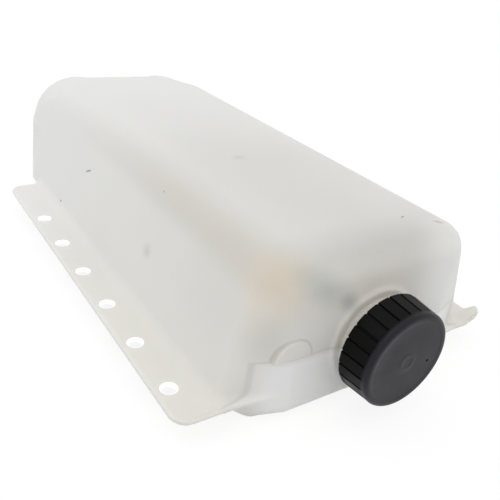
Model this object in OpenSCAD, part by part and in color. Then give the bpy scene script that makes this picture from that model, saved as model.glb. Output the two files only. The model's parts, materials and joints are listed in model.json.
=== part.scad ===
// Coolant expansion tank: a blow-moulded natural polyethylene tank with a bolting
// flange along each side, a filler neck in the front wall and a ribbed screw cap.
// X is across the tank, Y runs from the cap end to the rear, Z is up.
// The origin lies on the flat underside, midway along and between the two rows
// of flange holes.

/* [Tank body] */
// Width of the body where the side walls meet the flanges
body_w = 218; // [200:1:230]
// Height from the flat underside to the flat top
body_h = 111; // [100:1:130]
// Distance from the first flange hole to the front wall
front_reach = 39.5; // [35:0.5:60]
// Distance from the last flange hole to the rear wall
rear_reach = 180; // [160:1:220]
// Thickness of the moulded wall
wall = 3; // [2:0.5:4]
// Lean of the side walls from upright, in degrees
side_lean = 16.5; // [8:0.5:20]
// Lean of the front wall from upright, in degrees
front_lean = 3; // [0:0.5:6]
// Rounding of the edges round the flat top
ridge_r = 21; // [14:1:26]
// Rounding of the upright front corners, where they meet the flanges
corner_r = 32; // [20:1:36]
// Rounding of the rear corners
rear_r = 45; // [30:1:50]
// Distance from the rear wall to where the side walls start to draw in
draw_in_l = 77; // [60:1:85]
// Width that each side wall draws in by, at the flanges
draw_in_w = 9; // [2:1:14]

/* [Sunken underside] */
// Depth of the underside below the flanges
tray_depth = 16.5; // [14:0.5:25]
// Width of the underside's flat, between the sloping sides
tray_flat_w = 162; // [120:1:170]
// Rounding of the lower edge
tray_r = 12.5; // [9:0.5:14]

/* [Flanges] */
// Width over both flanges
flange_w = 280; // [260:1:300]
// Thickness of a flange
flange_t = 3.5; // [2.5:0.5:5]
// Rounding of a flange's corners
flange_corner_r = 22; // [10:1:28]
// Rounding between a side wall and its flange
flange_fillet_r = 8; // [4:0.5:12]
// Distance from the first hole to the flange's front end
flange_front = 31; // [26:1:34]
// Distance from the last hole to the flange's rear end
flange_rear = 90; // [40:1:100]
// Distance between neighbouring holes
hole_pitch = 50; // [46:0.5:52]
// Number of holes in each flange
hole_count = 6; // [5:1:7]
// Diameter of a hole
hole_d = 11; // [6:0.5:13]
// Distance from a hole's centre to the flange's outer edge
hole_margin = 12; // [10:0.5:15]

/* [Filler neck] */
// Height of the neck's axis above the underside
neck_z = 48; // [47:1:60]
// Outer diameter of the neck
neck_d = 59; // [50:0.5:62]
// Diameter of the neck's bore
neck_bore_d = 51; // [40:0.5:54]
// Distance that the neck's rim stands out from the front wall's foot
neck_len = 25; // [22:0.5:32]
// Diameter of the collar at the neck's root
collar_d = 68; // [64:0.5:74]
// Distance that the collar stands out from the front wall, at the neck's axis
collar_h = 2.5; // [1.5:0.5:5]
// Distance of the half-round pad from the neck's axis
pad_offset = 67.5; // [58:0.5:70]
// Radius of the half-round pad
pad_r = 15; // [8:0.5:18]
// Distance that the pad stands out from the front wall, at its straight edge
pad_h = 0.8; // [0.4:0.1:3]

/* [Filler cap] */
// Diameter of the cap at its open end
cap_d = 72.7; // [70:0.1:80]
// Diameter of the cap where its side would meet its face
cap_face_d = 69; // [67:0.1:70]
// Height of the cap
cap_h = 23.5; // [20:0.5:28]
// Thickness of the cap's face
cap_face_t = 3; // [2:0.5:4]
// Radial clearance between the neck's thread crests and the cap
thread_room = 2.8; // [2.5:0.1:3]
// Rounding of the edge round the cap's face
cap_edge_r = 3; // [1.5:0.5:4]
// Number of grip grooves
groove_count = 24; // [16:1:30]
// Width of a grip groove
groove_w = 1.4; // [0.8:0.1:2.5]
// Depth of a grip groove
groove_depth = 1.2; // [0.6:0.1:1.5]
// Plain band between the grooves and the cap's face
groove_stop = 4.5; // [3:0.5:8]
// Diameter of the vent hole in the cap's face
vent_d = 2; // [1:0.1:3]
// Distance of the vent hole from the cap's axis
vent_offset = 20.5; // [12:0.5:21]
// Direction of the vent hole, in degrees down from the right
vent_angle = 14; // [0:1:360]

/* [Sealing ring] */
// Thickness of the sealing ring
seal_t = 2; // [1:0.5:4]
// Distance that the ring reaches inside the neck's bore
seal_lip = 1.5; // [0.5:0.5:2]
// Radial clearance between the ring and the cap
seal_room = 0.5; // [0.3:0.1:0.8]

/* [Rear spigots] */
// Outer diameter of the hose outlet
outlet_d = 22; // [16:0.5:28]
// Diameter of the outlet's bore
outlet_bore_d = 16; // [10:0.5:22]
// Distance that the outlet stands out from the rear wall
outlet_len = 32; // [24:1:45]
// Height of the outlet's axis above the underside
outlet_z = 38; // [34:1:45]
// Outer diameter of the breather spigot
breather_d = 10; // [8:0.5:14]
// Diameter of the breather's bore
breather_bore_d = 6; // [4:0.5:8]
// Distance that the breather stands out from the rear wall
breather_len = 22; // [18:1:30]
// Depth of the breather's axis below the flat top
breather_drop = 31; // [25:1:36]
// Height of the bead at each spigot's end
bead_h = 1; // [0.5:0.1:1.5]
// Length of the bead at each spigot's end
bead_l = 4; // [2:0.5:6]
// Reach of the weld collar round each spigot's root
weld_rim = 5; // [3:0.5:8]
// Height of the weld collar
weld_h = 3; // [2:0.5:5]

/* [Hidden] */
$fn = 96;
// segments round the rounded corners of the moulded shell
shell_fn = 32;
// extra length of a cutter past the face that it opens
past = 1;
// the fillets dip this far into the wall and the flange, so that they cross them
dip = 0.15;

natural = [0.87, 0.87, 0.85];
black = [0.13, 0.13, 0.14];
grey = [0.3, 0.3, 0.31];

// heights and places along the tank
flange_z = tray_depth;
flange_top = flange_z + flange_t;
row_half = hole_pitch * (hole_count - 1) / 2;
front_y = -row_half - front_reach;
rear_y = row_half + rear_reach;
hole_x = flange_w / 2 - hole_margin;

// Each half of the shell is the convex hull of balls at the edge and upright discs
// at the flanges. A ball of radius r touches the top and a leaning wall, and the wall
// thickness is taken off every radius for the inside.
function drawn_in(r, lean) = (body_h - r - flange_top) * tan(lean) + r / cos(lean);
mid_r = ridge_r;
mid_y = rear_y - draw_in_l;
rear_low_y = rear_y - rear_r;
front_low_y = front_y + corner_r;
rear_low_x = body_w / 2 - rear_r - draw_in_w;

// the tray starts this far inside the body's outline
tray_gap = 2;
tray_low_x = tray_flat_w / 2;
tray_rear_y = rear_y - rear_r - tray_r;

// how far forward the front wall's outside lies at the neck's height
neck_wall = -front_y - (neck_z - flange_top) * tan(front_lean);

// the neck, the ring and the cap follow each other along the neck's axis,
// measured forward from the origin
rim = -front_y + neck_len;
cap_seat = rim + seal_t;
cap_face = cap_seat + cap_face_t;
cap_base = cap_face - cap_h;
cap_bore_r = neck_d / 2 + thread_room;
cap_taper = atan((cap_d - cap_face_d) / 2 / cap_h);
seal_r = cap_bore_r - seal_room;
seal_hole_r = neck_bore_d / 2 - seal_lip;

// a shape modelled on the right side, and its mirror image on the left
module each_side() {
    children();
    mirror([1, 0, 0]) children();
}

// turns a shape drawn upright so that it points forward along the neck's axis
module along_neck(x = 0) {
    translate([x, 0, neck_z]) rotate([90, 0, 0]) children();
}

// a ball with a true top and bottom point, so that the hull's flats are at their height
module ball(r) {
    rotate_extrude($fn = shell_fn) intersection() {
        circle(r = r, $fn = shell_fn);
        translate([0, -r]) square([r, 2 * r]);
    }
}

// a pair of upright discs at the flanges' height, one on each side of the tank
module disc_pair(x, y, r) {
    for (s = [-1, 1])
        translate([s * x, y, flange_z]) cylinder(r = r, h = flange_t, $fn = shell_fn);
}

// a pair of balls, one on each side of the tank
module ball_pair(x, y, z, r) {
    for (s = [-1, 1])
        translate([s * x, y, z]) ball(r);
}

// a pair of balls in the top edge, where a ball of radius r touches both walls
module top_pair(r, y, inset) {
    ball_pair(body_w / 2 - drawn_in(r, side_lean), y, body_h - r, r - inset);
}

// the body above the flanges, drawn in by the inset
module upper_body(inset = 0) {
    hull() {
        disc_pair(body_w / 2 - corner_r, front_low_y, corner_r - inset);
        top_pair(ridge_r, front_y + drawn_in(ridge_r, front_lean), inset);
        disc_pair(body_w / 2 - mid_r, mid_y, mid_r - inset);
        top_pair(ridge_r, mid_y, inset);
        disc_pair(rear_low_x, rear_low_y, rear_r - inset);
        top_pair(rear_r, rear_low_y, inset);
    }
}

// the shallow tray below the flanges, drawn in by the inset
module tray_body(inset = 0) {
    hull() {
        disc_pair(body_w / 2 - tray_gap - corner_r, front_low_y, corner_r - inset);
        disc_pair(body_w / 2 - tray_gap - mid_r, mid_y, mid_r - inset);
        disc_pair(rear_low_x - tray_gap, rear_low_y, rear_r - inset);
        ball_pair(tray_low_x, front_y + tray_r, tray_r, tray_r - inset);
        ball_pair(tray_low_x, mid_y, tray_r, tray_r - inset);
        ball_pair(rear_low_x, tray_rear_y, tray_r, tray_r - inset);
    }
}

// plan of both flanges as one rounded plate
module flange_plan() {
    front = -row_half - flange_front;
    rear = row_half + flange_rear;
    r = flange_corner_r;
    translate([-flange_w / 2, front + r]) square([flange_w, rear - front - 2 * r]);
    translate([-flange_w / 2 + r, front]) square([flange_w - 2 * r, rear - front]);
    for (x = [-1, 1], y = [front + r, rear - r])
        translate([x * (flange_w / 2 - r), y]) circle(r = r);
}

// section of the hollow between a side wall and its flange, x from the corner's axis
module fillet_section() {
    r = flange_fillet_r;
    reach = r * tan(45 - side_lean / 2);
    up = reach * cos(side_lean);
    difference() {
        polygon([[corner_r - wall / 2, -flange_t / 2], [corner_r + reach, -flange_t / 2],
                 [corner_r + reach, 0], [corner_r - reach * sin(side_lean), up],
                 [corner_r - reach * sin(side_lean) - wall / 2, up]]);
        translate([corner_r + reach - dip, r - dip]) circle(r = r);
    }
}

// fillet along one side wall and round its front corner, kept on the flange
module side_fillet() {
    run = mid_y - front_low_y;
    intersection() {
        translate([0, 0, flange_top - flange_t]) linear_extrude(body_h) flange_plan();
        translate([body_w / 2 - corner_r, 0, flange_top]) {
            translate([0, mid_y, 0]) rotate([90, 0, 0])
                linear_extrude(run) fillet_section();
            translate([0, front_low_y, 0]) rotate([0, 0, -90])
                rotate_extrude(angle = 90) fillet_section();
        }
    }
}

// the upper half of a disc, with its straight edge along x
module half_round(r) {
    intersection() {
        circle(r = r);
        translate([-r, 0]) square([2 * r, r]);
    }
}

// where the rear wall's outside lies at a height, above which its top is rounded
function rear_at(z) =
    rear_low_y + sqrt(rear_r ^ 2 - max(0, z - body_h + rear_r) ^ 2);

// a straight hose spigot on the rear wall, with a weld collar and an end bead
module spigot(z, d, length) {
    inside = rear_r / 2;
    translate([0, rear_at(z) - inside, z]) rotate([-90, 0, 0]) {
        cylinder(d = d, h = inside + length);
        cylinder(d = d + 2 * weld_rim, h = inside + weld_h);
        translate([0, 0, inside + length - bead_l])
            cylinder(d1 = d + 2 * bead_h, d2 = d, h = bead_l);
    }
}

// the bore of a spigot, from inside the tank out past its end
module spigot_bore(z, bore_d, length) {
    translate([0, rear_low_y, z]) rotate([-90, 0, 0])
        cylinder(d = bore_d, h = rear_r + length + past);
}

// the moulded tank with its flanges, neck, pad and spigots
module tank_body() {
    breather_z = body_h - breather_drop;
    color(natural) difference() {
        union() {
            upper_body();
            tray_body();
            translate([0, 0, flange_z]) linear_extrude(flange_t) flange_plan();
            each_side() side_fillet();
            along_neck() {
                translate([0, 0, -front_low_y]) cylinder(d = neck_d, h = rim + front_low_y);
                translate([0, 0, -front_low_y])
                    cylinder(d = collar_d, h = neck_wall + front_low_y + collar_h);
            }
            along_neck(-pad_offset) translate([0, 0, -front_low_y])
                linear_extrude(neck_wall + front_low_y + pad_h) half_round(pad_r);
            spigot(outlet_z, outlet_d, outlet_len);
            spigot(breather_z, breather_d, breather_len);
        }
        upper_body(wall);
        tray_body(wall);
        along_neck() translate([0, 0, -front_low_y])
            cylinder(d = neck_bore_d, h = rim + front_low_y + past);
        spigot_bore(outlet_z, outlet_bore_d, outlet_len);
        spigot_bore(breather_z, breather_bore_d, breather_len);
        each_side() for (i = [0 : hole_count - 1])
            translate([hole_x, i * hole_pitch - row_half, flange_z - past])
                cylinder(d = hole_d, h = flange_t + 2 * past);
    }
}

// outline of the cap's outside from its axis, tapered, with a rounded edge
module cap_outline() {
    r = cap_edge_r;
    z = cap_face - r;
    x = cap_d / 2 - (z - cap_base) * tan(cap_taper) - r / cos(cap_taper);
    polygon([[0, cap_base], [cap_d / 2, cap_base],
             [x + r * cos(cap_taper), z + r * sin(cap_taper)],
             [x, z], [x, cap_face], [0, cap_face]]);
    translate([x, z]) circle(r = r);
}

// one grip groove in the cap's tapered side, open at the cap's rim
module grip_groove() {
    translate([cap_d / 2, 0, cap_base]) rotate([0, -cap_taper, 0])
        translate([-groove_depth, -groove_w / 2, -past])
            cube([2 * groove_depth, groove_w, cap_h - groove_stop + past]);
}

// the screw cap, hollow towards the tank, with a vent hole in its face
module filler_cap() {
    color(black) along_neck() difference() {
        rotate_extrude() intersection() {
            cap_outline();
            translate([0, cap_base]) square([cap_d, cap_h]);
        }
        translate([0, 0, cap_base - past]) cylinder(r = cap_bore_r, h = cap_seat - cap_base + past);
        for (i = [0 : groove_count - 1])
            rotate([0, 0, (i + 0.5) * 360 / groove_count]) grip_groove();
        rotate([0, 0, -vent_angle]) translate([vent_offset, 0, cap_seat - past])
            cylinder(d = vent_d, h = cap_face_t + 2 * past);
    }
}

// the flat ring that the cap presses on the neck's rim
module cap_seal() {
    color(grey) along_neck() translate([0, 0, rim]) difference() {
        cylinder(r = seal_r, h = seal_t);
        translate([0, 0, -past]) cylinder(r = seal_hole_r, h = seal_t + 2 * past);
    }
}

tank_body();
filler_cap();
cap_seal();
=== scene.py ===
# Coolant expansion tank: the moulded skin, the cap, their finishes, the light and the camera.
import json
import math

import bmesh
import bpy
import numpy as np
from mathutils import Matrix, Quaternion, Vector


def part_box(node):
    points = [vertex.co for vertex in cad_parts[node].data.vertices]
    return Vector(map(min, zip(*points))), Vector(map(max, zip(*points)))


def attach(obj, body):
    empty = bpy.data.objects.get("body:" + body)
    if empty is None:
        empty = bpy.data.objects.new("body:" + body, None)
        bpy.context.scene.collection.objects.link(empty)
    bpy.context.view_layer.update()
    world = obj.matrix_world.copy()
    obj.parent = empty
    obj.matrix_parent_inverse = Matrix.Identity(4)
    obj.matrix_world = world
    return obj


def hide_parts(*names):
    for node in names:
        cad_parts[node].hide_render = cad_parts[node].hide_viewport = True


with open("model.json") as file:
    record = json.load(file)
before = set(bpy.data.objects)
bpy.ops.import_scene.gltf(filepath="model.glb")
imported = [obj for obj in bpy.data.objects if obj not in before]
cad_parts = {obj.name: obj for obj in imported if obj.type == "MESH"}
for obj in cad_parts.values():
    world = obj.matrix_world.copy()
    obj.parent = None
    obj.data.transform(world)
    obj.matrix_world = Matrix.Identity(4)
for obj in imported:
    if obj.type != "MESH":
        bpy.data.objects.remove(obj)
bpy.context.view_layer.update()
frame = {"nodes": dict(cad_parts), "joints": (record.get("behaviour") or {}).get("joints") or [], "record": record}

# Sizes are in millimetres, and this many metres make one.
MM = 0.001


def in_mm(corner):
    """A place in metres as an array in millimetres."""
    return np.array(corner, float) / MM


# What the frame says
tank_low, tank_high = [in_mm(corner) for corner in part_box("tank_body")]
cap_low, cap_high = [in_mm(corner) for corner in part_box("filler_cap")]
mounts = {mount["name"]: mount for mount in frame["record"]["mounts"]}
end_holes = mounts["flange_end_holes"]
hole_x = end_holes["dims"]["spacing_x_mm"] / 2
row_half = end_holes["dims"]["spacing_y_mm"] / 2
hole_r = end_holes["dims"]["hole_r_mm"]
flange_z = in_mm(end_holes["pos_m"])[2]
hole_pitch = mounts["flange_middle_holes"]["dims"]["spacing_y_mm"]
hole_count = round(2 * row_half / hole_pitch) + 1
cap_joint = [joint for joint in frame["joints"] if joint["name"] == "cap_turn"][0]
neck_z = in_mm(cap_joint["pos_m"])[2]

# The skin keeps just inside the solids: the flanges by 2 mm at their edges, the top by 1 mm.
flange_half_w = tank_high[0] - 2
tank_top = tank_high[2] - 1
rim_y = tank_low[1]
outlet_end = tank_high[1]

# The moulded shell. Behind MID_Y its sides draw in, by DRAW_IN each at the flanges.
FLANGE_T = 3.5
BODY_HALF_W = 109
FRONT_Y = -163.5
REAR_Y = 305
WALL = 3
SIDE_LEAN = math.radians(16.5)
FRONT_LEAN = math.radians(3)
RIDGE_R = 20
REAR_R = 45
MID_Y = 225
DRAW_IN = 11
flange_top = flange_z + FLANGE_T
neck_wall = FRONT_Y + (neck_z - flange_top) * math.tan(FRONT_LEAN)

# The front corners: their radius at the flanges, where the front wall starts to bend back, how
# much further out that is at the top, and how far back the corner lies at the flanges. The
# tray's corner comes forward by the last value's share of that at the bottom.
EDGE_R = 9.5
BEND_X = 62
BEND_TOP_OUT = 6
CORNER_BACK = 12
TRAY_CORNER_FORWARD = 0.45

# The tray below the flanges: how far each side runs inwards for each millimetre of drop
TRAY_R = 12.5
TRAY_GAP = 2
TRAY_SIDE_RUN = 1.32
TRAY_REAR_SIDE_RUN = 2.43
TRAY_REAR_RUN = 3.48

# The flanges, which run past the end holes by FLANGE_FRONT and FLANGE_REAR, with fillets to the body
FLANGE_CORNER_R = 12
FLANGE_FRONT = 31
FLANGE_REAR = 80
FLANGE_EDGE_R = 1.0
FILLET_ABOVE = 8
FILLET_BELOW = 3

# The right flange droops towards its outer edge and front end, and the end's corner is bent up.
# Both grow between two distances in front of the middle, the bend also from BENT_X outwards.
DROOP = 3
DROOP_POWER = 1.5
DROOP_START = 40
DROOP_FULL = 110
BENT_UP = 9
BENT_START = 137
BENT_FULL = 149
BENT_X = 114

# The neck, its collar and the half-round pad beside it
NECK_R = 29.5
NECK_BORE_R = 25.5
NECK_EDGE_R = 0.8
NECK_FILLET = 1
COLLAR_R = 34
COLLAR_OUT = 0.8
COLLAR_FILLET = 4
PAD_X = -65.5
PAD_R = 13.8
PAD_OUT = 0.4
SOFT_EDGE = 1.2

# The two hose spigots
OUTLET_R = 11
OUTLET_BORE_R = 8
OUTLET_Z = 38
OUTLET_OUT = 32
BREATHER_R = 5
BREATHER_BORE_R = 3
BREATHER_Z = tank_top - 30
BREATHER_OUT = 22
BEAD_H = 1
BEAD_L = 4
WELD_RIM = 5
WELD_H = 3
SPIGOT_EDGE_R = 0.6
BEAD_EDGE_R = 0.4
SPIGOT_FILLET = 2

# The moulding line climbs both front corners from the flanges to the neck's height, and fades in
# between two distances in front of the middle.
SEAM_Y = -154.5
SEAM_H = 0.08
SEAM_W = 1.1
SEAM_CORNER_R = 5
SEAM_START = 125
SEAM_FULL = 135

# The part of the front wall that gets smaller faces: its depth, half height and ends in X
FINE_DEPTH = 16
FINE_HALF_H = 40
FINE_X = (-106, 45)

# How far the cutters of the holes and bores run past what they cut, and in from the end walls
HOLE_PAST = 3
BORE_PAST = 5
BORE_IN = 12
BREATHER_IN = 22

# The cap
CAP_GROOVES = 24
CAP_RIM_R = 36.35
CAP_FACE_R = 34.5
CAP_EDGE_R = 3
CAP_BORE_R = 32.3
CAP_FACE_T = 3
GROOVE_DEPTH = 1.2
GROOVE_STOP = 4.5
VENT_R = 1
VENT_AWAY = 20.5
VENT_ANGLE = math.radians(-14)

# The threads
THREAD_PITCH = 5
THREAD_TURNS = 2.6
THREAD_STEPS = 72


def smooth_step(value, start, end):
    """0 below start, 1 above end, smooth between them."""
    share = np.clip((value - start) / (end - start), 0, 1)
    return share * share * (3 - 2 * share)


def outline_distance(x, y, circles):
    """Distance in plan to the convex outline round circles (x, y, radius) and their mirror images."""
    x = np.abs(x)
    _, front_y, front_r = circles[0]
    _, rear_y, rear_r = circles[-1]
    distance = np.maximum(front_y - front_r - y, y - rear_y - rear_r)
    for (ax, ay, ar), (bx, by, br) in zip(circles, circles[1:]):
        span = np.hypot(bx - ax, by - ay) + 1e-9
        along = (ar - br) / span
        across = np.sqrt(1 - along ** 2)
        nx = (along * (bx - ax) + across * (by - ay)) / span
        ny = (along * (by - ay) - across * (bx - ax)) / span
        distance = np.maximum(distance, nx * (x - ax) + ny * (y - ay) - ar)
    for cx, cy, radius in circles:
        away = np.hypot(x - cx, y - cy) + 1e-9
        nx = (x - cx) / away
        ny = (y - cy) / away
        reach = nx * cx + ny * cy + radius
        seen = nx >= 0
        for ox, oy, other_r in circles:
            seen = seen & (nx * ox + ny * oy + other_r <= reach + 1e-6)
        distance = np.where(seen, np.maximum(distance, away - radius), distance)
    return distance


def rounded_edge(side, slope, flat, radius):
    """Distance to a flat and a wall that leans in by slope, with the edge between them rounded."""
    length = np.sqrt(1 + slope ** 2)
    tilt = slope / length
    a = side / length + radius
    b = flat + radius
    across = np.sqrt(np.maximum(a * a + b * b - 2 * a * b * tilt, 0) / (1 - tilt ** 2))
    in_round = (a > b * tilt) & (b > a * tilt)
    return np.where(in_round, across, np.maximum(a, b)) - radius


def shared(a, b, radius):
    """What lies inside both, with the edge rounded."""
    rounded = np.hypot(np.maximum(a + radius, 0), np.maximum(b + radius, 0))
    return np.minimum(np.maximum(a, b), -radius) + rounded


def joined(a, b, radius):
    """What lies inside either, with a fillet where they meet."""
    fillet = np.hypot(np.maximum(radius - a, 0), np.maximum(radius - b, 0))
    return np.maximum(np.minimum(a, b), radius) - fillet


def upper_circles(z):
    """The plan of the body at heights z above the flanges."""
    rise = np.maximum(z - flange_top, 0)
    side = BODY_HALF_W - rise * math.tan(SIDE_LEAN)
    front = FRONT_Y + rise * math.tan(FRONT_LEAN)
    share = np.clip(rise / (tank_top - RIDGE_R - flange_top), 0, 1)
    corner = EDGE_R + (RIDGE_R - EDGE_R) * share
    back = CORNER_BACK * (1 - share)
    bend = np.minimum(BEND_X + BEND_TOP_OUT * share, side - corner - 0.3)
    drawn = np.maximum(DRAW_IN * (1 - rise / (tank_top - REAR_R - flange_top)), 0)
    return [
        (bend, front + corner, corner),
        (side - corner, front + corner + back, corner),
        (side - RIDGE_R, MID_Y, RIDGE_R),
        (side - drawn - REAR_R, REAR_Y - REAR_R, REAR_R),
    ]


def tray_circles(z):
    """The plan of the tray at heights z below the flanges."""
    drop = np.maximum(flange_z - z, 0)
    share = np.clip(drop / flange_z, 0, 1)
    side = BODY_HALF_W - TRAY_GAP - TRAY_SIDE_RUN * drop
    rear_side = BODY_HALF_W - DRAW_IN - TRAY_GAP - TRAY_REAR_SIDE_RUN * drop
    rear = REAR_Y - TRAY_REAR_RUN * drop
    corner_r = EDGE_R + (TRAY_R - EDGE_R) * share
    back = CORNER_BACK * (1 - TRAY_CORNER_FORWARD * share)
    mid_r = RIDGE_R + (TRAY_R - RIDGE_R) * share
    rear_r = REAR_R + (TRAY_R - REAR_R) * share
    return [
        (BEND_X, FRONT_Y + corner_r, corner_r),
        (side - corner_r, FRONT_Y + corner_r + back, corner_r),
        (side - mid_r, MID_Y, mid_r),
        (rear_side - rear_r, rear - rear_r, rear_r),
    ]


def shell(x, y, z):
    """Distance to the moulded body without its flanges, neck and pads."""
    side = outline_distance(x, y, upper_circles(z))
    slope = outline_distance(x, y, upper_circles(z + 1)) - side
    to_rear = np.clip((y - MID_Y) / (REAR_Y - REAR_R - MID_Y), 0, 1)
    ridge = RIDGE_R + (REAR_R - RIDGE_R) * to_rear
    upper = rounded_edge(side, slope, z - tank_top, ridge)
    side = outline_distance(x, y, tray_circles(z))
    slope = outline_distance(x, y, tray_circles(z - 1)) - side
    tray = rounded_edge(side, slope, -z, TRAY_R)
    return np.minimum(np.maximum(upper, flange_z - z), np.maximum(tray, z - flange_top))


def flange_plate(x, y, z):
    """Distance to both flanges as one plate, with the right one's droop and bent corner."""
    front = -row_half - FLANGE_FRONT
    rear = row_half + FLANGE_REAR
    over_x = np.abs(x) - flange_half_w + FLANGE_CORNER_R
    over_y = np.abs(y - (front + rear) / 2) - (rear - front) / 2 + FLANGE_CORNER_R
    outside = np.hypot(np.maximum(over_x, 0), np.maximum(over_y, 0))
    plan = outside + np.minimum(np.maximum(over_x, over_y), 0) - FLANGE_CORNER_R
    out = np.clip((x - BODY_HALF_W) / (flange_half_w - BODY_HALF_W), 0, 1)
    lift = BENT_UP * smooth_step(-y, BENT_START, BENT_FULL) * smooth_step(x, BENT_X, flange_half_w)
    lift = lift - DROOP * out ** DROOP_POWER * smooth_step(-y, DROOP_START, DROOP_FULL)
    thick = np.abs(z - lift - (flange_z + flange_top) / 2) - FLANGE_T / 2
    return shared(plan, thick, FLANGE_EDGE_R)


def rod(x, y, z, place, radius, start, end, edge):
    """Distance to a round rod along Y at place (x, z), with rounded ends."""
    side = np.hypot(x - place[0], z - place[1]) - radius
    return shared(side, np.maximum(start - y, y - end), edge)


def half_round_pad(x, y, z):
    """Distance to the half-round pad left of the neck."""
    inner_end = FRONT_Y + EDGE_R
    plan = shared(np.hypot(x - PAD_X, z - neck_z) - PAD_R, neck_z - z, SOFT_EDGE)
    return shared(plan, np.maximum(neck_wall - PAD_OUT - y, y - inner_end), SOFT_EDGE)


def rear_wall_at(z):
    """Where the rear wall's outside lies at a height."""
    return REAR_Y - REAR_R + math.sqrt(REAR_R ** 2 - max(0, z - tank_top + REAR_R) ** 2)


def spigot(x, y, z, height, radius, out):
    """Distance to a hose spigot on the rear wall, with its weld collar and end bead."""
    wall = rear_wall_at(height)
    place = (0, height)
    tube = rod(x, y, z, place, radius, wall - REAR_R / 2, wall + out, SPIGOT_EDGE_R)
    collar = rod(x, y, z, place, radius + WELD_RIM, wall - REAR_R / 2, wall + WELD_H, SOFT_EDGE)
    bead_share = np.clip((wall + out - y) / BEAD_L, 0, 1)
    bead_r = radius + BEAD_H * (1 - bead_share)
    bead = np.hypot(x, z - height) - bead_r
    bead = shared(bead, np.maximum(wall + out - BEAD_L - y, y - wall - out), BEAD_EDGE_R)
    return np.minimum(joined(tube, collar, SOFT_EDGE), bead)


def seam_distance(y, z):
    """Distance in side view to the moulding line, which climbs from the flanges to the neck."""
    return np.abs(shared(y - SEAM_Y, z - neck_z, SEAM_CORNER_R))


def tank_field(x, y, z):
    """Distance to the whole outside of the tank."""
    body = shell(x, y, z)
    seam = SEAM_H * np.exp(-((seam_distance(y, z) / SEAM_W) ** 2))
    seam = seam * smooth_step(-y, SEAM_START, SEAM_FULL) * (z > flange_top)
    body = body - seam
    fillet = FILLET_BELOW + (FILLET_ABOVE - FILLET_BELOW) * smooth_step(z, flange_z, flange_top + 1)
    tank = joined(body, flange_plate(x, y, z), fillet)
    tank = joined(tank, half_round_pad(x, y, z), SOFT_EDGE)
    neck_place = (0, neck_z)
    inner_end = FRONT_Y + EDGE_R
    collar = rod(x, y, z, neck_place, COLLAR_R, neck_wall - COLLAR_OUT, inner_end, SOFT_EDGE)
    tank = joined(tank, collar, COLLAR_FILLET)
    neck = rod(x, y, z, neck_place, NECK_R, rim_y, inner_end, NECK_EDGE_R)
    tank = joined(tank, neck, NECK_FILLET)
    outlet = spigot(x, y, z, OUTLET_Z, OUTLET_R, OUTLET_OUT)
    breather = spigot(x, y, z, BREATHER_Z, BREATHER_R, BREATHER_OUT)
    return joined(tank, np.minimum(outlet, breather), SPIGOT_FILLET)


def cavity_field(x, y, z):
    """Distance to the space inside the tank."""
    return shell(x, y, z) + WALL


def grid_lines(*stretches):
    """Grid lines along one axis, for stretches of (start, end, step)."""
    lines = []
    for start, end, step in stretches:
        count = max(1, round((end - start) / step))
        lines.append(np.linspace(start, end, count, endpoint=False))
    return np.append(np.concatenate(lines), stretches[-1][1])


def surface_net(field, xs, ys, zs):
    """Corners and four-sided faces of the surface where field is zero, a corner in each crossed cell."""
    values = field(xs[:, None, None], ys[None, :, None], zs[None, None, :])
    inside = values < 0
    cells = tuple(count - 1 for count in values.shape)
    corner_steps = [(i, j, k) for i in (0, 1) for j in (0, 1) for k in (0, 1)]
    inside_count = sum(
        inside[i:i + cells[0], j:j + cells[1], k:k + cells[2]].astype(int)
        for i, j, k in corner_steps
    )
    crossed = np.argwhere((inside_count > 0) & (inside_count < 8))
    index = np.full(cells, -1)
    index[tuple(crossed.T)] = np.arange(len(crossed))
    lines = (xs, ys, zs)
    total = np.zeros((len(crossed), 3))
    number = np.zeros(len(crossed))
    for axis in range(3):
        step = np.zeros(3, int)
        step[axis] = 1
        for corner in corner_steps:
            if corner[axis]:
                continue
            start = crossed + corner
            a = values[tuple(start.T)]
            b = values[tuple((start + step).T)]
            cut = (a < 0) != (b < 0)
            share = np.where(cut, a / np.where(cut, a - b, 1), 0)
            place = np.stack([lines[n][start[:, n]] for n in range(3)], axis=1)
            line = lines[axis]
            place[:, axis] += share * (line[start[:, axis] + 1] - line[start[:, axis]])
            total += place * cut[:, None]
            number += cut
    faces = []
    for axis in range(3):
        first, second = [n for n in range(3) if n != axis]
        low = [slice(None)] * 3
        high = [slice(None)] * 3
        low[axis] = slice(0, -1)
        high[axis] = slice(1, None)
        cut = np.argwhere(inside[tuple(low)] != inside[tuple(high)])
        limits = np.array(cells)
        keep = (cut[:, first] > 0) & (cut[:, second] > 0)
        keep &= (cut[:, first] < limits[first]) & (cut[:, second] < limits[second])
        cut = cut[keep]
        ring = []
        for back_first, back_second in ((1, 1), (0, 1), (0, 0), (1, 0)):
            cell = cut.copy()
            cell[:, first] -= back_first
            cell[:, second] -= back_second
            ring.append(index[tuple(cell.T)])
        ring = np.stack(ring, axis=1)
        outward = inside[tuple(cut.T)] != (axis == 1)
        faces.append(np.where(outward[:, None], ring, ring[:, ::-1]))
    return total / number[:, None], np.concatenate(faces)


def settle(field, points, rounds=4, farthest=1.5):
    """Moves points onto the surface where field is zero."""
    delta = 0.05
    for _ in range(rounds):
        x, y, z = points.T
        value = field(x, y, z)
        slope = np.stack([
            field(x + delta, y, z) - field(x - delta, y, z),
            field(x, y + delta, z) - field(x, y - delta, z),
            field(x, y, z + delta) - field(x, y, z - delta),
        ], axis=1) / (2 * delta)
        steep = np.maximum((slope ** 2).sum(axis=1), 0.2)
        move = -slope * (value / steep)[:, None]
        length = np.linalg.norm(move, axis=1) + 1e-9
        points = points + move * np.minimum(1, farthest / length)[:, None]
    return points


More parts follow.
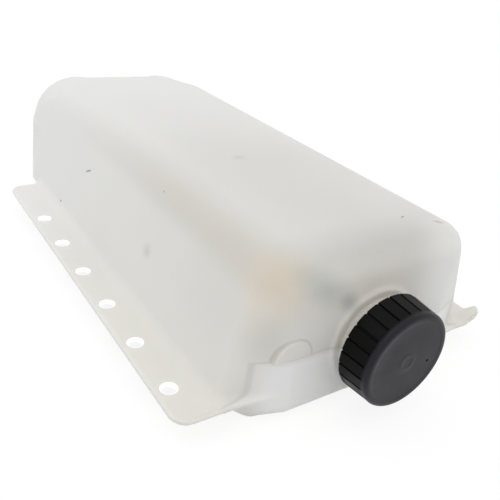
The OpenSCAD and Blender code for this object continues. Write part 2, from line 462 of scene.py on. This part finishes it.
def read_points(mesh):
    """A mesh's corners as an array in millimetres."""
    flat = np.zeros(len(mesh.vertices) * 3)
    mesh.vertices.foreach_get("co", flat)
    return flat.reshape(-1, 3) / MM


def new_mesh(name, points, faces):
    """A mesh from corners in millimetres."""
    mesh = bpy.data.meshes.new(name)
    mesh.from_pydata((np.asarray(points) * MM).tolist(), [], [list(face) for face in faces])
    mesh.update()
    return mesh


def new_object(name, mesh):
    """An object at the origin that shows a mesh."""
    piece = bpy.data.objects.new(name, mesh)
    bpy.context.scene.collection.objects.link(piece)
    return piece


def smooth_faces(mesh, angle):
    """Smooth shading, with edges sharper than angle kept crisp."""
    mesh.shade_smooth()
    mesh.set_sharp_from_angle(angle=math.radians(angle))


def refine_front(mesh):
    """Halves the faces of the front wall that hold the collar, the pad and the moulding line."""
    bm = bmesh.new()
    bm.from_mesh(mesh)
    edges = set()
    for face in bm.faces:
        x, y, z = face.calc_center_median() / MM
        in_height = neck_z - FINE_HALF_H < z < neck_z + FINE_HALF_H
        if y < FRONT_Y + FINE_DEPTH and in_height and FINE_X[0] < x < FINE_X[1]:
            edges.update(face.edges)
    bmesh.ops.subdivide_edges(bm, edges=list(edges), cuts=1, use_grid_fill=True)
    bm.to_mesh(mesh)
    bm.free()
    points = settle(tank_field, read_points(mesh), rounds=3)
    mesh.vertices.foreach_set("co", (points * MM).ravel())
    mesh.update()


def cut_away(piece, cutters):
    """Cuts the closed shapes in the bmesh cutters out of a piece."""
    mesh = bpy.data.meshes.new("cutters")
    cutters.to_mesh(mesh)
    cutters.free()
    cutter = new_object("cutters", mesh)
    change = piece.modifiers.new("holes", "BOOLEAN")
    change.operation = "DIFFERENCE"
    change.solver = "EXACT"
    change.object = cutter
    bpy.context.view_layer.update()
    graph = bpy.context.evaluated_depsgraph_get()
    result = bpy.data.meshes.new_from_object(piece.evaluated_get(graph))
    old = piece.data
    piece.modifiers.clear()
    piece.data = result
    bpy.data.meshes.remove(old)
    bpy.data.objects.remove(cutter)
    bpy.data.meshes.remove(mesh)


def add_rod(bm, start, end, radius, segments=64):
    """Adds a closed cylinder between two places in millimetres to a bmesh."""
    start = Vector(start) * MM
    end = Vector(end) * MM
    turn = Vector((0, 0, 1)).rotation_difference(end - start).to_matrix().to_4x4()
    place = Matrix.Translation((start + end) / 2) @ turn
    bmesh.ops.create_cone(
        bm, cap_ends=True, segments=segments, radius1=radius * MM, radius2=radius * MM,
        depth=(end - start).length, matrix=place)


def make_tank():
    """The moulded tank as a hollow shell with its holes and bores."""
    xs = grid_lines((-142, -132, 1.4), (-132, -112, 4), (-112, -84, 2.2), (-84, 84, 2.4),
                    (84, 112, 2.2), (112, 132, 4), (132, 142, 1.4))
    ys = grid_lines((rim_y - 3, -158, 1.6), (-158, -130, 2), (-130, 190, 5), (190, 210, 1.8),
                    (210, 300, 3), (300, outlet_end + 3, 1.6))
    zs = grid_lines((-2, 15.6, 1.8), (15.6, 21.2, 0.8), (21.2, 33, 1.6), (33, 90, 2.3),
                    (90, tank_top + 3, 1.8))
    points, faces = surface_net(tank_field, xs, ys, zs)
    mesh = new_mesh("tank_skin", settle(tank_field, points), faces)
    refine_front(mesh)
    xs = grid_lines((-112, 112, 4))
    ys = grid_lines((-168, -120, 3), (-120, 220, 8), (220, 308, 4))
    zs = grid_lines((0, 24, 2.5), (24, tank_top, 3.5))
    inner, inner_faces = surface_net(cavity_field, xs, ys, zs)
    inner = settle(cavity_field, inner)
    bm = bmesh.new()
    bm.from_mesh(mesh)
    corners = [bm.verts.new(point * MM) for point in inner]
    for face in inner_faces:
        bm.faces.new([corners[n] for n in reversed(face)])
    bm.to_mesh(mesh)
    bm.free()
    piece = new_object("tank_skin", mesh)
    cutters = bmesh.new()
    for side in (-1, 1):
        for number in range(hole_count):
            y = number * hole_pitch - row_half
            start = (side * hole_x, y, flange_z - HOLE_PAST)
            end = (side * hole_x, y, flange_top + HOLE_PAST)
            add_rod(cutters, start, end, hole_r, 48)
    bores = (
        (rim_y - BORE_PAST, FRONT_Y + BORE_IN, neck_z, NECK_BORE_R, 96),
        (REAR_Y - BORE_IN, outlet_end + BORE_PAST, OUTLET_Z, OUTLET_BORE_R, 48),
        (REAR_Y - BREATHER_IN, outlet_end + BORE_PAST, BREATHER_Z, BREATHER_BORE_R, 32),
    )
    for start_y, end_y, height, radius, segments in bores:
        add_rod(cutters, (0, start_y, height), (0, end_y, height), radius, segments)
    cut_away(piece, cutters)
    smooth_faces(piece.data, 32)
    return piece


def cap_profile():
    """Outside and inside of the cap as (radius, distance from its open rim, groove share)."""
    height = cap_high[1] - cap_low[1]
    taper = math.atan((CAP_RIM_R - CAP_FACE_R) / height)
    stop = height - GROOVE_STOP

    def side(along):
        return CAP_RIM_R - along * math.tan(taper)

    rows = [(side(0) - 0.5, 0, 1), (side(0) - 0.15, 0.12, 1), (side(0.5), 0.5, 1)]
    rows += [(side(along), along, 1) for along in (2, 5, 8, 11, 14, stop - 1.6)]
    for back, share in ((1, 0.93), (0.4, 0.6), (0, 0)):
        rows.append((side(stop - back), stop - back, share))
    edge_z = height - CAP_EDGE_R
    edge_x = side(edge_z) - CAP_EDGE_R / math.cos(taper)
    for step in range(9):
        angle = taper + (math.pi / 2 - taper) * step / 8
        edge_r = edge_x + CAP_EDGE_R * math.cos(angle)
        rows.append((edge_r, edge_z + CAP_EDGE_R * math.sin(angle), 0))
    face = [(29.6, 0), (29.2, 0.12), (28.6, 0.2), (20, 0.25), (10, 0.25), (5.7, 0.25), (5.2, 0.18),
            (4.8, 0.18), (4.3, 0.28), (2, 0.3)]
    rows += [(radius, height - sunk, 0) for radius, sunk in face]
    inner = [(2, 0), (20, 0), (CAP_BORE_R - 1, 0), (CAP_BORE_R - 0.3, -0.3), (CAP_BORE_R, -1)]
    seat = height - CAP_FACE_T
    inner_rows = [(radius, seat + sunk, 0) for radius, sunk in inner]
    inner_rows += [(CAP_BORE_R, along, 0) for along in (15, 10, 5, 1)]
    inner_rows += [(CAP_BORE_R + 0.1, 0.4, 0), (CAP_BORE_R + 0.5, 0, 0)]
    return rows, inner_rows


def make_cap():
    """The ribbed cap, closed at its face and open towards the neck."""
    pitch = 2 * math.pi / CAP_GROOVES
    columns = []
    groove = [(-2.2, 0), (-1.45, 0.02), (-1.15, 0.25), (-0.95, 0.85), (-0.6, 1), (0, 1),
              (0.6, 1), (0.95, 0.85), (1.15, 0.25), (1.45, 0.02), (2.2, 0)]
    rib = [(4, 0), (5.75, 0), (7.5, 0), (9.25, 0), (11, 0)]
    for number in range(CAP_GROOVES):
        for degrees, depth in groove + rib:
            away = abs(abs(degrees) - 7.5) if degrees < 7.5 else degrees - 7.5
            columns.append(((number + 0.5) * pitch + math.radians(degrees), depth, math.radians(away)))
    rows, inner_rows = cap_profile()
    points = []
    across = len(columns)
    flat = math.cos(pitch / 2)
    for radius, along, share in rows:
        ribbed = smooth_step(-along, -20.2, -18.5)
        for angle, depth, away in columns:
            rib_r = radius * (1 + (flat / math.cos(away) - 1) * ribbed)
            r = rib_r - GROOVE_DEPTH * depth * share
            points.append((r * math.cos(angle), cap_high[1] - along, neck_z + r * math.sin(angle)))
    for radius, along, _ in inner_rows:
        for angle, _, _ in columns:
            points.append((radius * math.cos(angle), cap_high[1] - along,
                           neck_z + radius * math.sin(angle)))
    levels = len(rows) + len(inner_rows)
    faces = []
    for level in range(levels):
        if level == len(rows) - 1:
            continue
        above = (level + 1) % levels
        for n in range(across):
            m = (n + 1) % across
            below = level * across
            faces.append((below + n, below + m, above * across + m, above * across + n))
    height = cap_high[1] - cap_low[1]
    centres = ((len(rows) - 1, height - 0.3, True), (len(rows), height - CAP_FACE_T, False))
    for level, along, forward in centres:
        centre = len(points)
        points.append((0, cap_high[1] - along, neck_z))
        for n in range(across):
            m = (n + 1) % across
            ends = (level * across + n, level * across + m)
            faces.append(ends + (centre,) if forward else ends[::-1] + (centre,))
    mesh = new_mesh("cap_shell", points, faces)
    bm = bmesh.new()
    bm.from_mesh(mesh)
    bmesh.ops.recalc_face_normals(bm, faces=bm.faces)
    bm.to_mesh(mesh)
    bm.free()
    piece = new_object("cap_shell", mesh)
    cutters = bmesh.new()
    vent_x = VENT_AWAY * math.cos(VENT_ANGLE)
    vent_z = neck_z + VENT_AWAY * math.sin(VENT_ANGLE)
    add_rod(cutters, (vent_x, cap_low[1] - 2, vent_z), (vent_x, cap_low[1] + CAP_FACE_T + 2, vent_z),
            VENT_R, 24)
    cut_away(piece, cutters)
    smooth_faces(piece.data, 28)
    return piece


def make_thread(name, root_r, crest_r, first_y):
    """A right-hand thread ridge round the neck's axis, from first_y forward, fading at both ends."""
    steps = int(THREAD_STEPS * THREAD_TURNS)
    section = [(-1.5, 0), (-0.55, 1), (0.55, 1), (1.5, 0)]
    points = []
    for step in range(steps + 1):
        angle = 2 * math.pi * step / THREAD_STEPS
        y = first_y - THREAD_PITCH * step / THREAD_STEPS
        fade = float(smooth_step(min(step, steps - step), 0, THREAD_STEPS / 6))
        for along, height in section:
            r = root_r + (crest_r - root_r) * height * fade
            along_y = y + along * (0.3 + 0.7 * fade)
            points.append((r * math.cos(angle), along_y, neck_z + r * math.sin(angle)))
    across = len(section)
    faces = []
    for step in range(steps):
        for n in range(across):
            m = (n + 1) % across
            a = step * across
            b = a + across
            faces.append((a + n, a + m, b + m, b + n))
    faces.append(tuple(range(across)))
    faces.append(tuple(steps * across + n for n in reversed(range(across))))
    mesh = new_mesh(name, points, faces)
    bm = bmesh.new()
    bm.from_mesh(mesh)
    bmesh.ops.recalc_face_normals(bm, faces=bm.faces)
    bm.to_mesh(mesh)
    bm.free()
    piece = new_object(name, mesh)
    smooth_faces(mesh, 30)
    return piece


class Nodes:
    """Short calls for building a material's node tree."""

    def __init__(self, name):
        self.material = bpy.data.materials.new(name)
        self.material.use_nodes = True
        self.tree = self.material.node_tree
        self.shader = self.tree.nodes["Principled BSDF"]

    def add(self, kind, **settings):
        node = self.tree.nodes.new(kind)
        for key, value in settings.items():
            setattr(node, key, value)
        return node

    def link(self, source, target):
        self.tree.links.new(source, target)

    def place(self):
        return self.add("ShaderNodeTexCoord").outputs["Object"]

    def noise(self, scale, detail):
        node = self.add("ShaderNodeTexNoise")
        node.inputs["Scale"].default_value = scale
        node.inputs["Detail"].default_value = detail
        node.inputs["Roughness"].default_value = 0.5
        self.link(self.place(), node.inputs["Vector"])
        return node.outputs["Fac"]

    def axes(self):
        """The place's x, y and z in metres."""
        node = self.add("ShaderNodeSeparateXYZ")
        self.link(self.place(), node.inputs[0])
        return node.outputs

    def ramp(self, value, low, high, to_low=0.0, to_high=1.0):
        node = self.add("ShaderNodeMapRange", interpolation_type="SMOOTHSTEP")
        node.inputs["From Min"].default_value = low
        node.inputs["From Max"].default_value = high
        node.inputs["To Min"].default_value = to_low
        node.inputs["To Max"].default_value = to_high
        self.link(value, node.inputs["Value"])
        return node.outputs["Result"]

    def maths(self, operation, a, b):
        node = self.add("ShaderNodeMath", operation=operation)
        for socket, value in zip(node.inputs, (a, b)):
            if isinstance(value, (int, float)):
                socket.default_value = value
            else:
                self.link(value, socket)
        return node.outputs["Value"]

    def mix(self, share, low, high):
        """Colour low where share is 0 and high where it is 1; each is a colour or a socket."""
        node = self.add("ShaderNodeMix", data_type="RGBA")
        for socket, value in ((node.inputs[0], share), (node.inputs[6], low), (node.inputs[7], high)):
            if isinstance(value, (int, float)):
                socket.default_value = value
            elif isinstance(value, tuple):
                socket.default_value = (*value, 1)
            else:
                self.link(value, socket)
        return node.outputs[2]

    def spot(self, place, half_sizes, turn, soft):
        """1 inside an oval at a place in millimetres, fading to 0 over its outer soft share."""
        oval = self.add("ShaderNodeMapping", vector_type="TEXTURE")
        oval.inputs["Location"].default_value = [value * MM for value in place]
        oval.inputs["Rotation"].default_value = [math.radians(value) for value in turn]
        oval.inputs["Scale"].default_value = [value * MM for value in half_sizes]
        self.link(self.place(), oval.inputs["Vector"])
        length = self.add("ShaderNodeVectorMath", operation="LENGTH")
        self.link(oval.outputs["Vector"], length.inputs[0])
        return self.ramp(length.outputs["Value"], 1 - soft, 1, 1, 0)

    def tinted(self, colour, spots):
        """A colour with spots of other colours over it, for rows like those of PAINTED_LIGHT_SHADE_AND_SPOTS."""
        for place, sizes, turn, tint, share, soft in spots:
            mask = self.maths("MULTIPLY", self.spot(place, sizes, turn, soft), share)
            colour = self.mix(mask, colour, linear(*tint))
        return colour

    def line(self, distance, half_width, soft):
        """1 where a distance in metres is near 0, fading out past half_width in millimetres."""
        away = self.maths("ABSOLUTE", distance, 0)
        return self.ramp(away, half_width * MM, (half_width + soft) * MM, 1, 0)

    def holes(self, x, y):
        """1 on the walls of the bolt holes, from the places x and y in metres."""
        from_row = self.maths("SUBTRACT", self.maths("ABSOLUTE", x, 0), hole_x * MM)
        along = self.maths("ADD", y, (row_half + hole_pitch / 2) * MM)
        turns = self.maths("FRACT", self.maths("DIVIDE", along, hole_pitch * MM), 0)
        from_hole = self.maths("MULTIPLY", self.maths("SUBTRACT", turns, 0.5), hole_pitch * MM)
        squares = self.maths("ADD", self.maths("POWER", from_row, 2), self.maths("POWER", from_hole, 2))
        away = self.maths("SQRT", squares, 0)
        from_middle = self.maths("ABSOLUTE", y, 0)
        in_row = self.ramp(from_middle, (row_half + 8) * MM, (row_half + 9) * MM, 1, 0)
        near = self.ramp(away, (hole_r + 0.05) * MM, (hole_r + 0.3) * MM, 1, 0)
        return self.maths("MULTIPLY", near, in_row)

    def bump(self, height, strength, distance):
        node = self.add("ShaderNodeBump")
        node.inputs["Strength"].default_value = strength
        node.inputs["Distance"].default_value = distance
        self.link(height, node.inputs["Height"])
        self.link(node.outputs["Normal"], self.shader.inputs["Normal"])


def linear(red, green, blue):
    """A colour as seen on a screen, from 0 to 255, in the linear values that shaders take."""
    def one(value):
        value = value / 255
        return value / 12.92 if value < 0.04045 else ((value + 0.055) / 1.055) ** 2.4
    return one(red), one(green), one(blue)


# Soft patches of painted shade and painted light, and two small grey spots: place and half sizes in
# millimetres, turn in degrees, colour, the colour's share, and how much of the oval is soft
PAINTED_LIGHT_SHADE_AND_SPOTS = [
    # Painted shade along the left ridge, over the top and along the top's front edge
    ((-82, -80, 104), (34, 330, 24), (0, 0, 0), (186, 176, 164), 0.34, 1.0),
    ((0, -60, 110), (120, 290, 14), (0, 0, 0), (190, 189, 186), 0.30, 1.0),
    ((0, -147, 106), (130, 34, 20), (0, 0, 0), (172, 170, 167), 0.36, 1.0),
    # Warm painted shade where the front wall turns under the top
    ((-8, -162, 86), (100, 16, 26), (0, 0, 0), (196, 180, 162), 0.22, 1.0),
    # A warm painted glow of light through the front-left corner's wall
    ((-84, -156, 100), (42, 42, 36), (0, 0, 0), (242, 216, 178), 0.31, 1.0),
    # Painted shade low on the front-left corner
    ((-85, -158, 64), (24, 24, 26), (0, 0, 0), (200, 196, 186), 0.35, 1.0),
    # A bluish painted shadow band running up and left from the neck
    ((-48, -159, 93), (38, 18, 16), (0, 33, 0), (166, 176, 178), 0.45, 1.0),
    # Painted shade round the neck, under the cap's rim
    ((0, -166, 49), (39, 8, 39), (0, 0, 0), (190, 174, 148), 0.18, 0.3),
    # A dark painted shadow at the neck's upper left
    ((-27, -165, 79), (13, 14, 10), (0, 33, 0), (92, 104, 108), 0.40, 1.0),
    # Painted light on the right end of the front wall
    ((75, -160, 80), (52, 40, 66), (0, 0, 0), (255, 254, 250), 0.60, 0.8),
    # Two small soft grey spots, on the left side and on the top
    ((-98, -24, 58), (5, 9, 9), (0, 0, 0), (178, 178, 178), 0.35, 1.0),
    ((-6, 7, 110), (9, 7, 5), (0, 0, 0), (186, 186, 186), 0.35, 1.0),
]

# Small scuffs and specks, the same way
SCUFFS = [
    ((-94, 105, 70), (3, 7, 1), (-25, 0, 0), (96, 96, 94), 0.7, 0.5),
    ((-107, 143, 27), (3, 1.6, 1.4), (0, 0, 0), (110, 108, 104), 0.7, 0.5),
    ((-84, -6, 105), (3, 1.3, 1.3), (0, 0, 0), (120, 110, 106), 0.6, 0.5),
    ((-85, -19, 101), (3, 1.1, 1.1), (0, 0, 0), (140, 120, 110), 0.5, 0.5),
    ((45, -126, 110), (3.2, 0.9, 3), (0, 0, 20), (120, 120, 120), 0.6, 0.5),
    ((65, -141, 109), (5, 1.2, 4), (0, 0, -50), (130, 132, 134), 0.6, 0.6),
]

# Light that comes through the thin milky walls of the bolt holes
HOLE_GLOW = 0.55


def seam_light_and_shade_masks(nodes, x, y, z):
    """Two masks: 1 below the moulding line at the front, where painted light makes the wall lighter, and 1 on that
    line, drawn dark, and on the pad's upper edge, where painted shade falls.
    """
    above_flanges = nodes.ramp(z, (flange_top - 0.5) * MM, (flange_top + 1) * MM)
    # The tray lies within 100 mm of the middle, and the flanges, which keep their colour, outside it.
    off_flanges = nodes.ramp(nodes.maths("ABSOLUTE", x, 0), 0.1, 0.106, 1, 0)
    off_flanges = nodes.maths("MAXIMUM", off_flanges, above_flanges)
    seam_y = nodes.maths("SUBTRACT", y, SEAM_Y * MM)
    seam_z = nodes.maths("SUBTRACT", z, neck_z * MM)
    seam = nodes.maths("MAXIMUM", seam_y, seam_z)
    below = nodes.maths("MULTIPLY", nodes.ramp(seam, -0.006, 0.001, 1, 0), off_flanges)
    lines = nodes.maths("MULTIPLY", nodes.line(seam, 0.2, 1.0), above_flanges)
    flat = nodes.add("ShaderNodeCombineXYZ")
    nodes.link(nodes.maths("SUBTRACT", x, PAD_X * MM), flat.inputs[0])
    nodes.link(seam_z, flat.inputs[2])
    pad = nodes.add("ShaderNodeVectorMath", operation="LENGTH")
    nodes.link(flat.outputs[0], pad.inputs[0])
    past_edge = nodes.maths("SUBTRACT", pad.outputs["Value"], (PAD_R + 0.3) * MM)
    # Painted shade along the pad's upper edge, where it stands out of the wall
    ring = nodes.line(past_edge, 0.3, 0.9)
    upper_half = nodes.ramp(seam_z, -0.002, 0.001)
    at_front = nodes.ramp(y, -0.15, -0.14, 1, 0)
    ring = nodes.maths("MULTIPLY", nodes.maths("MULTIPLY", ring, upper_half), at_front)
    return below, nodes.maths("MAXIMUM", nodes.maths("MULTIPLY", lines, 0.7), ring)


def natural_plastic():
    """Milky uncoloured polyethylene with scuffs, a dark moulding line and painted light and shade: soft patches,
    lighter towards the rear and below the moulding line, shade on the pad's edge, and glowing bolt-hole walls.
    """
    nodes = Nodes("natural_plastic")
    x, y, z = nodes.axes()
    soft = nodes.ramp(nodes.noise(9, 1.5), 0.35, 0.7)
    colour = nodes.mix(soft, linear(232, 230, 224), linear(227, 225, 219))
    # Painted light: the plastic is made lighter towards the rear
    to_rear = nodes.ramp(y, -0.165, 0.3)
    colour = nodes.mix(to_rear, colour, linear(238, 237, 234))
    colour = nodes.tinted(colour, PAINTED_LIGHT_SHADE_AND_SPOTS)
    below, lines = seam_light_and_shade_masks(nodes, x, y, z)
    # Painted light: the front wall below the moulding line is made lighter
    colour = nodes.mix(nodes.maths("MULTIPLY", below, 0.85), colour, linear(255, 253, 249))
    # A dark moulding line, and painted shade along the pad's upper edge
    colour = nodes.mix(nodes.maths("MULTIPLY", lines, 0.25), colour, linear(150, 146, 136))
    colour = nodes.tinted(colour, SCUFFS)
    # Painted light: the bolt holes' walls are made near white and glow, for light through the thin walls
    hole = nodes.holes(x, y)
    colour = nodes.mix(hole, colour, linear(250, 253, 255))
    shader = nodes.shader
    nodes.link(colour, shader.inputs["Base Color"])
    shader.inputs["Emission Color"].default_value = (*linear(244, 250, 255), 1)
    nodes.link(nodes.maths("MULTIPLY", hole, HOLE_GLOW), shader.inputs["Emission Strength"])
    shader.inputs["Roughness"].default_value = 0.5
    shader.inputs["Specular IOR Level"].default_value = 0.3
    shader.inputs["Subsurface Weight"].default_value = 0.6
    shader.inputs["Subsurface Radius"].default_value = (1.0, 0.9, 0.75)
    shader.inputs["Subsurface Scale"].default_value = 0.006
    nodes.bump(nodes.noise(140, 3), 0.08, 0.0004)
    return nodes.material


def black_plastic():
    """Black moulded plastic with a fine grain, and a painted sheen that makes the cap's face lighter than its
    side.
    """
    nodes = Nodes("black_plastic")
    y = nodes.axes()[1]
    # Painted light: the cap's face gets a lighter base colour than its side, for the sheen it reflects
    face = nodes.ramp(y, (cap_low[1] + 1.5) * MM, (cap_low[1] + 5.5) * MM, 1, 0)
    tone = nodes.mix(face, (0.001, 0.001, 0.0009), (0.0092, 0.0084, 0.0140))
    scratch = nodes.spot((-16.3, cap_low[1], neck_z - 11), (2.2, 3, 0.6), (0, -35, 0), 0.5)
    tone = nodes.mix(scratch, tone, (0.001, 0.001, 0.001))
    nodes.link(tone, nodes.shader.inputs["Base Color"])
    nodes.link(nodes.ramp(face, 0, 1, 0.1, 0.24), nodes.shader.inputs["Specular IOR Level"])
    rough = nodes.ramp(nodes.noise(60, 2), 0.3, 0.7, 0.34, 0.42)
    nodes.link(rough, nodes.shader.inputs["Roughness"])
    nodes.bump(nodes.noise(1500, 2), 0.1, 0.0002)
    return nodes.material


def seal_rubber():
    """Dark rubber of the sealing ring."""
    nodes = Nodes("seal_rubber")
    tone = nodes.ramp(nodes.noise(200, 2), 0.3, 0.7)
    colour = nodes.mix(tone, (0.01, 0.01, 0.01), (0.02, 0.02, 0.02))
    nodes.link(colour, nodes.shader.inputs["Base Color"])
    nodes.shader.inputs["Roughness"].default_value = 0.7
    return nodes.material


def dress(piece, body, material):
    """Gives a new piece its finish and the body that it rides on."""
    piece.data.materials.clear()
    piece.data.materials.append(material)
    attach(piece, body)


# The pieces
natural = natural_plastic()
black = black_plastic()
tank = make_tank()
dress(tank, "tank", natural)
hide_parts("tank_body")
neck_thread = make_thread("neck_thread", NECK_R - 0.4, CAP_BORE_R - 0.9, -171.5)
dress(neck_thread, "tank", natural)
cap = make_cap()
dress(cap, "cap", black)
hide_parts("filler_cap")
cap_thread = make_thread("cap_thread", CAP_BORE_R + 0.2, NECK_R + 0.7, -174)
dress(cap_thread, "cap", black)
seal = frame["nodes"]["cap_seal"]
seal.data.materials.clear()
seal.data.materials.append(seal_rubber())

# The camera stands where the photograph was taken from.
CAMERA_PLACE = Vector((-0.26905, -0.3748, 0.2723))
CAMERA_AIM = Vector((0.0235, 0.01395, 0.0158))
CAMERA_ROLL = math.radians(7.9)
CAMERA_LENS = 43.53


def make_camera():
    """The photograph's view."""
    data = bpy.data.cameras.new("camera")
    data.lens = CAMERA_LENS
    data.sensor_width = 36
    data.clip_start = 0.01
    camera = bpy.data.objects.new("camera", data)
    bpy.context.scene.collection.objects.link(camera)
    aim = (CAMERA_AIM - CAMERA_PLACE).to_track_quat("-Z", "Y")
    camera.rotation_mode = "QUATERNION"
    camera.rotation_quaternion = aim @ Quaternion((0, 0, 1), CAMERA_ROLL)
    camera.location = CAMERA_PLACE
    bpy.context.scene.camera = camera


def area_light(name, place, aim, size, power, colour=(1, 1, 1)):
    """A soft square lamp at a place, turned to face another."""
    data = bpy.data.lights.new(name, "AREA")
    data.size = size
    data.energy = power
    data.color = colour
    lamp = bpy.data.objects.new(name, data)
    bpy.context.scene.collection.objects.link(lamp)
    lamp.location = place
    lamp.rotation_mode = "QUATERNION"
    lamp.rotation_quaternion = (Vector(aim) - Vector(place)).to_track_quat("-Z", "Y")


def seen_rays(tree):
    """1 for the rays that show the background: the camera's, mirrored ones and see-through ones."""
    rays = tree.nodes.new("ShaderNodeLightPath")
    total = rays.outputs["Is Camera Ray"]
    for kind in ("Is Glossy Ray", "Is Transmission Ray"):
        step = tree.nodes.new("ShaderNodeMath")
        step.operation = "MAXIMUM"
        tree.links.new(total, step.inputs[0])
        tree.links.new(rays.outputs[kind], step.inputs[1])
        total = step.outputs[0]
    return total


def make_world(strength):
    """White to the camera, glossy and see-through rays, and plain soft light for the rest."""
    world = bpy.data.worlds.new("world")
    world.use_nodes = True
    bpy.context.scene.world = world
    tree = world.node_tree
    level = tree.nodes.new("ShaderNodeMapRange")
    level.inputs["To Min"].default_value = strength
    level.inputs["To Max"].default_value = 1.0
    tree.links.new(seen_rays(tree), level.inputs["Value"])
    background = tree.nodes["Background"]
    background.inputs["Color"].default_value = (1, 1, 1, 1)
    tree.links.new(level.outputs["Result"], background.inputs["Strength"])


# To the camera the floor glows this much and takes this share of the light, so shadows stay faint.
FLOOR_GLOW = 0.85
FLOOR_SHADE = 0.19


def make_floor():
    """A pale floor that reads as white but keeps the tank's shadow."""
    bpy.ops.mesh.primitive_plane_add(size=12, location=(0, 0, 0))
    floor = bpy.context.active_object
    floor.name = "floor"
    material = bpy.data.materials.new("floor")
    material.use_nodes = True
    tree = material.node_tree
    shader = tree.nodes["Principled BSDF"]
    shader.inputs["Roughness"].default_value = 0.9
    shader.inputs["Specular IOR Level"].default_value = 0.0
    shader.inputs["Emission Color"].default_value = (1, 1, 1, 1)
    seen = seen_rays(tree)
    for socket, plain, shown in (("Base Color", 0.8, FLOOR_SHADE), ("Emission Strength", 0, FLOOR_GLOW)):
        level = tree.nodes.new("ShaderNodeMapRange")
        level.inputs["To Min"].default_value = plain
        level.inputs["To Max"].default_value = shown
        tree.links.new(seen, level.inputs["Value"])
        tree.links.new(level.outputs["Result"], shader.inputs[socket])
    floor.data.materials.append(material)


make_camera()
make_floor()
make_world(0.85)
area_light("key", (-0.7, 0.1, 1.5), (0, 0.1, 0.05), 1.4, 3)
bpy.context.scene.view_settings.view_transform = "Standard"
